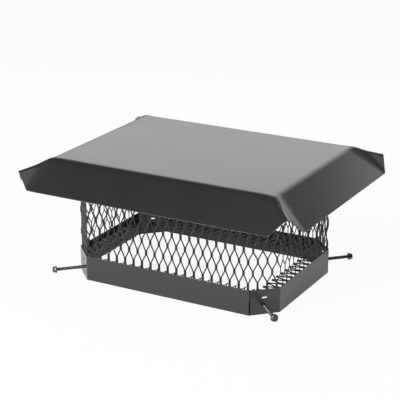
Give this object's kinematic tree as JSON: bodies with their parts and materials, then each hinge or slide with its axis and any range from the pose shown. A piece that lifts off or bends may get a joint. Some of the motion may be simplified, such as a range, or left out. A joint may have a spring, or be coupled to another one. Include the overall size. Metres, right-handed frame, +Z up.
{
  "type": "chimney cap",
  "caption": "Single-flue chimney cap: folded sheet hood on an expanded metal cage and a cut-corner band, held on the flue tile by corner clamp screws.",
  "frame": {"origin": "middle of the base band, level with its lower rim", "axes": "+X along the long side, +Y to the rear, +Z up"},
  "size_m": [0.4638, 0.3662, 0.1911],
  "materials": {
    "coated_sheet": "satin black powder coat on galvanised sheet",
    "coated_mesh": "satin black powder coat on expanded metal",
    "coated_screw": "satin black coated steel",
    "plain_nut": "satin black coated steel"
  },
  "bodies": {
    "cap": {"hood": "coated_sheet", "mesh_cage": "coated_mesh", "base_band": "coated_sheet", "corner_nut_front_left": "plain_nut", "corner_nut_front_right": "plain_nut", "corner_nut_rear_left": "plain_nut", "corner_nut_rear_right": "plain_nut"},
    "screw_front_left": {"clamp_screw_front_left": "coated_screw"},
    "screw_front_right": {"clamp_screw_front_right": "coated_screw"},
    "screw_rear_left": {"clamp_screw_rear_left": "coated_screw"},
    "screw_rear_right": {"clamp_screw_rear_right": "coated_screw"}
  },
  "joints": [
    {"name": "front_left_screw_travel", "type": "slide", "parent": "cap", "child": "screw_front_left", "axis": [0.7071, 0.7071, 0], "range_m": [-0.003, 0.036]},
    {"name": "front_right_screw_travel", "type": "slide", "parent": "cap", "child": "screw_front_right", "axis": [-0.7071, 0.7071, 0], "range_m": [-0.003, 0.036]},
    {"name": "rear_left_screw_travel", "type": "slide", "parent": "cap", "child": "screw_rear_left", "axis": [0.7071, -0.7071, 0], "range_m": [-0.003, 0.036]},
    {"name": "rear_right_screw_travel", "type": "slide", "parent": "cap", "child": "screw_rear_right", "axis": [-0.7071, -0.7071, 0], "range_m": [-0.003, 0.036]}
  ]
}
